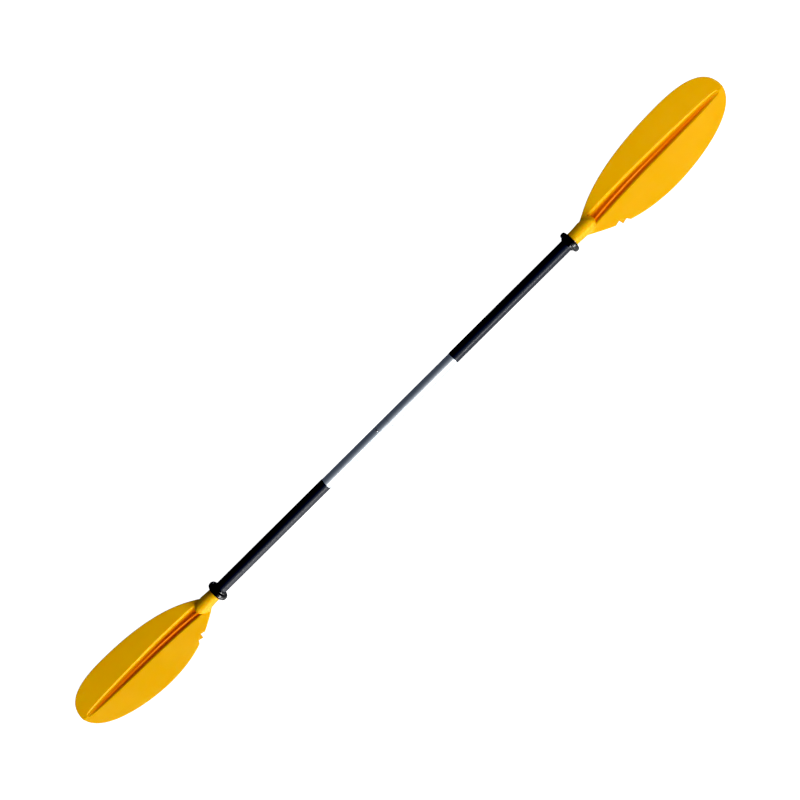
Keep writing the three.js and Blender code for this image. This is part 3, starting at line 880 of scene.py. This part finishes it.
def make_clip():
    """The bent steel leaf inside the ferrule and the domed locking button on its upper arm."""
    thickness, width, arm_top, bend_radius = 0.6, 7.0, 9.7, 1.6
    end_x, knee_x, bend_x = BUTTON_X + 6, BUTTON_X - 6, BUTTON_X - 28
    outer = [(end_x, arm_top), (knee_x, arm_top)]
    inner = [(end_x, arm_top - thickness), (knee_x, arm_top - thickness)]
    for turn in np.linspace(math.pi / 2, 3 * math.pi / 2, 14):
        along, up = math.cos(turn), math.sin(turn)
        outer.append((bend_x + bend_radius * along, bend_radius * up))
        reach = bend_radius - thickness
        inner.append((bend_x + reach * along, reach * up))
    outer.append((end_x, -arm_top))
    inner.append((end_x, -arm_top + thickness))
    outline = outer + inner[::-1]
    count = len(outline)
    points = [(x, y, z) for y in (-width / 2, width / 2) for x, z in outline]
    faces = [[i, (i + 1) % count, (i + 1) % count + count, i + count] for i in range(count)]
    for layer in (0, count):
        for i in range(len(outer) - 1):
            faces.append([layer + i, layer + i + 1, layer + count - 2 - i, layer + count - 1 - i])
    root, rise = arm_top - 0.3, 1.6
    shoulder = BUTTON_TOP - rise
    dome = [(root, 0), (root, BUTTON_RADIUS), (shoulder, BUTTON_RADIUS)]
    for turn in np.linspace(0.2, math.pi / 2, 10):
        dome.append((shoulder + rise * math.sin(turn), BUTTON_RADIUS * math.cos(turn)))
    dome[-1] = (BUTTON_TOP, 0)
    dome_points, dome_faces = turned(dome, SMALL_SEGMENTS)
    start = len(points)
    points += [(BUTTON_X + b, c, a) for a, b, c in dome_points]
    faces += [[start + index for index in face] for face in dome_faces]
    cos, sin = math.cos(BUTTON_TURNS[0]), math.sin(BUTTON_TURNS[0])
    leaned = [(x, y * cos + z * sin, z * cos - y * sin) for x, y, z in points]
    piece = add_piece("snap_clip_fine", leaned, faces)
    shade(piece, 40)
    return piece


def bend_clip(clip):
    """Bakes the clip's placing into its mesh; its arms are left as they are."""
    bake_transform(clip)


# ---- the object ----
for label, side in (("left", LEFT), ("right", RIGHT)):
    half = f"{label}_half"
    blade = make_blade(f"{label}_blade_fine", side)
    finish_piece(blade, half, "blade_plastic", BLADE_PLASTIC, f"{label}_blade")
    grip = make_grip(f"{label}_grip_fine", side)
    finish_piece(grip, half, "grip_rubber", GRIP_RUBBER, f"{label}_grip")
    ring = make_ring(f"{label}_ring_fine", side)
    finish_piece(ring, f"{label}_drip_ring", "ring_rubber", RING_RUBBER, f"{label}_drip_ring")
    plug = make_plug(f"{label}_end_plug_fine", END_PLUG_XS, side)
    finish_piece(plug, half, "plug_foam", PLUG_FOAM, f"{label}_shaft_end_plug")
    for place, rivet_x in zip(("inner", "outer"), BLADE_RIVET_XS):
        outside = float(neck_radius(rivet_x + RIVET_HEAD_RADIUS))
        rivet = make_rivet(f"{label}_rivet_{place}_fine", rivet_x, outside, TUBE_BORE, side)
        node = f"{label}_blade_rivet_{place}"
        finish_piece(rivet, half, "rivet_metal", RIVET_METAL, node)

button_holes = [
    spoke(-BUTTON_X, turn, BUTTON_HOLE_RADIUS, *HOLE_REACH, LEFT) for turn in BUTTON_TURNS
]
left_tube = make_tube("left_tube_fine", LEFT, button_holes)
finish_piece(left_tube, "left_half", "shaft_aluminium", SHAFT_ALUMINIUM, "left_shaft_tube")
right_tube = make_tube("right_tube_fine", RIGHT, rivet_holes(FERRULE_RIVET_XS, RIGHT))
finish_piece(right_tube, "right_half", "shaft_aluminium", SHAFT_ALUMINIUM, "right_shaft_tube")
bulkhead_xs = [-x for x in span("left_bulkhead_plug", 0)][::-1]
bulkhead = make_plug("left_bulkhead_fine", bulkhead_xs, LEFT)
finish_piece(bulkhead, "left_half", "plug_foam", PLUG_FOAM, "left_bulkhead_plug")
finish_piece(make_ferrule(), "right_half", "ferrule_nylon", FERRULE_NYLON, "ferrule_sleeve")
ferrule_plug = make_ferrule_plug()
finish_piece(ferrule_plug, "right_half", "ferrule_nylon", FERRULE_NYLON, "ferrule_end_plug")
finish_piece(make_seal(), "seal_ring", "ring_rubber", RING_RUBBER, "ferrule_seal_ring")
clip = make_clip()
bend_clip(clip)
finish_piece(clip, None, "spring_steel", SPRING_STEEL, "snap_button_spring")
for place, rivet_x in zip(("inner", "outer"), FERRULE_RIVET_XS):
    name = f"ferrule_rivet_{place}"
    rivet = make_rivet(f"{name}_fine", rivet_x, TUBE_RADIUS, FERRULE_BORE, RIGHT)
    finish_piece(rivet, "right_half", "rivet_metal", RIVET_METAL, name)


# ---- floor, light and camera ----
LIGHT_SIDE = Vector((-0.1, -1, 0)).normalized()
WORLD_CONTRAST = 2.1
WORLD_LEVEL = 0.15
WORLD_LEAST = 0.07
WORLD_FAR_TINT = (0.76, 0.82, 1.0, 1)
WORLD_TINT_FADE = (-0.6, 0.8)  # from the far side to the -Y side
WHITE = (1, 1, 1, 1)
FLOOR_HEIGHT = -0.001
FLOOR_HALF = 30.0
BLACK_LEVEL = 0.02
CAMERA_PLACE = Vector((0.3307, 0.1201, AXIS_HEIGHT * MM + 2.4487))
CAMERA_AIM = Vector((0.0554, 0.0178, AXIS_HEIGHT * MM))
CAMERA_ROLL = math.radians(-45.07)
CAMERA_LENS = 46.03


def make_floor():
    """A floor so evenly lit that it reads as pure white, and lends the object no light."""
    mesh = bpy.data.meshes.new("floor")
    signs = ((-1, -1), (1, -1), (1, 1), (-1, 1))
    corners = [(x * FLOOR_HALF, y * FLOOR_HALF, 0) for x, y in signs]
    mesh.from_pydata(corners, [], [(0, 1, 2, 3)])
    floor = bpy.data.objects.new("floor", mesh)
    floor.location.z = FLOOR_HEIGHT
    bpy.context.scene.collection.objects.link(floor)
    look = Look("floor_white", Roughness=0.9, Emission_Strength=1.05)
    look.shader.inputs["Emission Color"].default_value = WHITE
    look.shader.inputs["Specular IOR Level"].default_value = 0.0
    tone = look.range(look.noise(EVEN, 1.5, 2), 0.3, 0.7)
    look.colour(look.mix(tone, (0.3, 0.3, 0.3), (0.33, 0.33, 0.33)))
    mesh.materials.append(look.material)
    floor.visible_glossy = False
    floor.visible_diffuse = False


def add_area(name, place, size, radiance, aim=(0, 0, 0)):
    """A rectangular light; radiance is how bright its face looks beside pure white."""
    light = bpy.data.lights.new(name, "AREA")
    light.shape = "RECTANGLE"
    light.size, light.size_y = size
    light.energy = radiance * math.pi * size[0] * size[1]
    lamp = bpy.data.objects.new(name, light)
    lamp.location = place
    direction = Vector(aim) - Vector(place)
    lamp.rotation_euler = direction.to_track_quat("-Z", "Y").to_euler()
    bpy.context.scene.collection.objects.link(lamp)
    return lamp


def make_lamps():
    """A narrow key on the -Y side, a fill for the right blade and a sheen for the left grip."""
    add_area("key", (-0.15, -2.05, 1.4), (3.4, 0.25), 34)
    right_blade = (0.87, 0, 0)
    fill = add_area("fill", (1.5, 0.3, 1.6), (0.8, 0.8), 5, right_blade)
    fill.visible_glossy = False
    glow = add_area("glow", (-1.3, -2.1, 0.15), (1.8, 0.9), 4.0)
    glow.visible_diffuse = False


def make_world():
    """A studio brightest on the -Y side, dim and bluish on the far side, seen as plain white."""
    world = bpy.data.worlds.new("studio")
    bpy.context.scene.world = world
    world.use_nodes = True
    tree = world.node_tree
    studio = tree.nodes["Background"]
    place = tree.nodes.new("ShaderNodeTexCoord")
    facing = tree.nodes.new("ShaderNodeVectorMath")
    facing.operation = "DOT_PRODUCT"
    facing.inputs[1].default_value = LIGHT_SIDE
    tree.links.new(place.outputs["Generated"], facing.inputs[0])
    level = facing.outputs["Value"]
    steps = (
        ("MULTIPLY", WORLD_CONTRAST),
        ("EXPONENT", 0),
        ("MULTIPLY", WORLD_LEVEL),
        ("ADD", WORLD_LEAST),
    )
    for kind, amount in steps:
        step = tree.nodes.new("ShaderNodeMath")
        step.operation = kind
        tree.links.new(level, step.inputs[0])
        step.inputs[1].default_value = amount
        level = step.outputs["Value"]
    tree.links.new(level, studio.inputs["Strength"])
    side = tree.nodes.new("ShaderNodeMapRange")
    side.interpolation_type = "SMOOTHSTEP"
    side.inputs["From Min"].default_value = WORLD_TINT_FADE[0]
    side.inputs["From Max"].default_value = WORLD_TINT_FADE[1]
    tree.links.new(facing.outputs["Value"], side.inputs["Value"])
    tint = tree.nodes.new("ShaderNodeMix")
    tint.data_type = "RGBA"
    sockets = {socket.identifier: socket for socket in tint.inputs}
    sockets["A_Color"].default_value = WORLD_FAR_TINT
    sockets["B_Color"].default_value = WHITE
    tree.links.new(side.outputs["Result"], sockets["Factor_Float"])
    colour = next(socket for socket in tint.outputs if socket.identifier == "Result_Color")
    tree.links.new(colour, studio.inputs["Color"])
    backdrop = tree.nodes.new("ShaderNodeBackground")
    backdrop.inputs["Color"].default_value = WHITE
    seen = tree.nodes.new("ShaderNodeLightPath")
    choice = tree.nodes.new("ShaderNodeMixShader")
    tree.links.new(seen.outputs["Is Camera Ray"], choice.inputs["Fac"])
    tree.links.new(studio.outputs["Background"], choice.inputs[1])
    tree.links.new(backdrop.outputs["Background"], choice.inputs[2])
    tree.links.new(choice.outputs["Shader"], tree.nodes["World Output"].inputs["Surface"])


def make_camera():
    """Looks down on the power faces from a little towards the right blade."""
    camera = bpy.data.objects.new("camera", bpy.data.cameras.new("camera"))
    camera.data.lens = CAMERA_LENS
    forward = (CAMERA_AIM - CAMERA_PLACE).normalized()
    across = forward.cross(Vector((0, 1, 0))).normalized()
    upward = across.cross(forward)
    right = across * math.cos(CAMERA_ROLL) + upward * math.sin(CAMERA_ROLL)
    up = -across * math.sin(CAMERA_ROLL) + upward * math.cos(CAMERA_ROLL)
    matrix = camera.matrix_world.to_3x3()
    matrix.col[0], matrix.col[1], matrix.col[2] = right, up, -forward
    camera.matrix_world = matrix.to_4x4()
    camera.location = CAMERA_PLACE
    bpy.context.scene.collection.objects.link(camera)
    bpy.context.scene.camera = camera


def grade_picture():
    """Plain colours, with the faint blacks of a studio photograph clipped."""
    settings = bpy.context.scene.view_settings
    settings.view_transform = "Standard"
    settings.use_curve_mapping = True
    settings.curve_mapping.black_level = (BLACK_LEVEL, BLACK_LEVEL, BLACK_LEVEL)
    settings.curve_mapping.update()


make_floor()
make_lamps()
make_world()
make_camera()
grade_picture()
